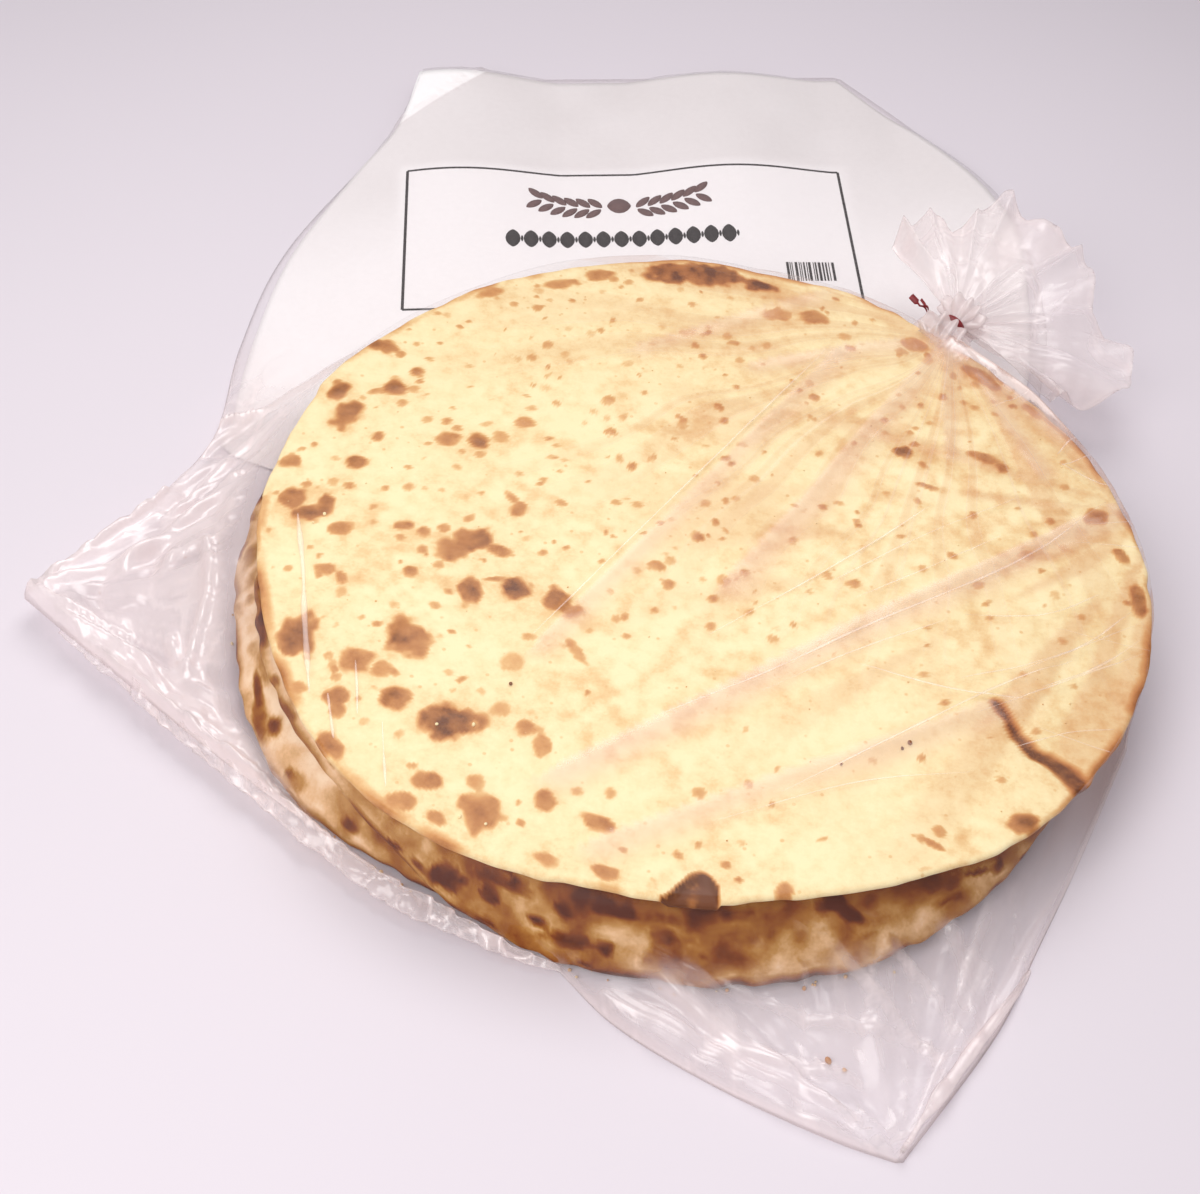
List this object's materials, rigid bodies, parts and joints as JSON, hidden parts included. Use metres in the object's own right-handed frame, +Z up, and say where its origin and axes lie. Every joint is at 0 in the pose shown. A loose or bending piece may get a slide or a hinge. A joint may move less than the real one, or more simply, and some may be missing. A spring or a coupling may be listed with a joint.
{
  "type": "bagged lavash crackerbread",
  "caption": "Flat stack of round browned crackerbreads in a clear film bag with pointed ears, a label sheet behind the stack, a gathered neck with a ruffle and a red twist tie.",
  "frame": {"origin": "on the flat underside, below the middle of the bread stack", "axes": "+Z up, +Y from the middle of the stack towards the label sheet, +X to the right as seen from the front ear"},
  "size_m": [0.4943, 0.6909, 0.0605],
  "materials": {
    "bag": "thin clear polyethylene film, creased and slightly hazy, over pale bread with brown blisters",
    "twist_tie": "red plastic-coated ribbon with a thin wire in its middle"
  },
  "bodies": {
    "root": {"bag": "bag", "twist_tie": "twist_tie"}
  },
  "joints": []
}
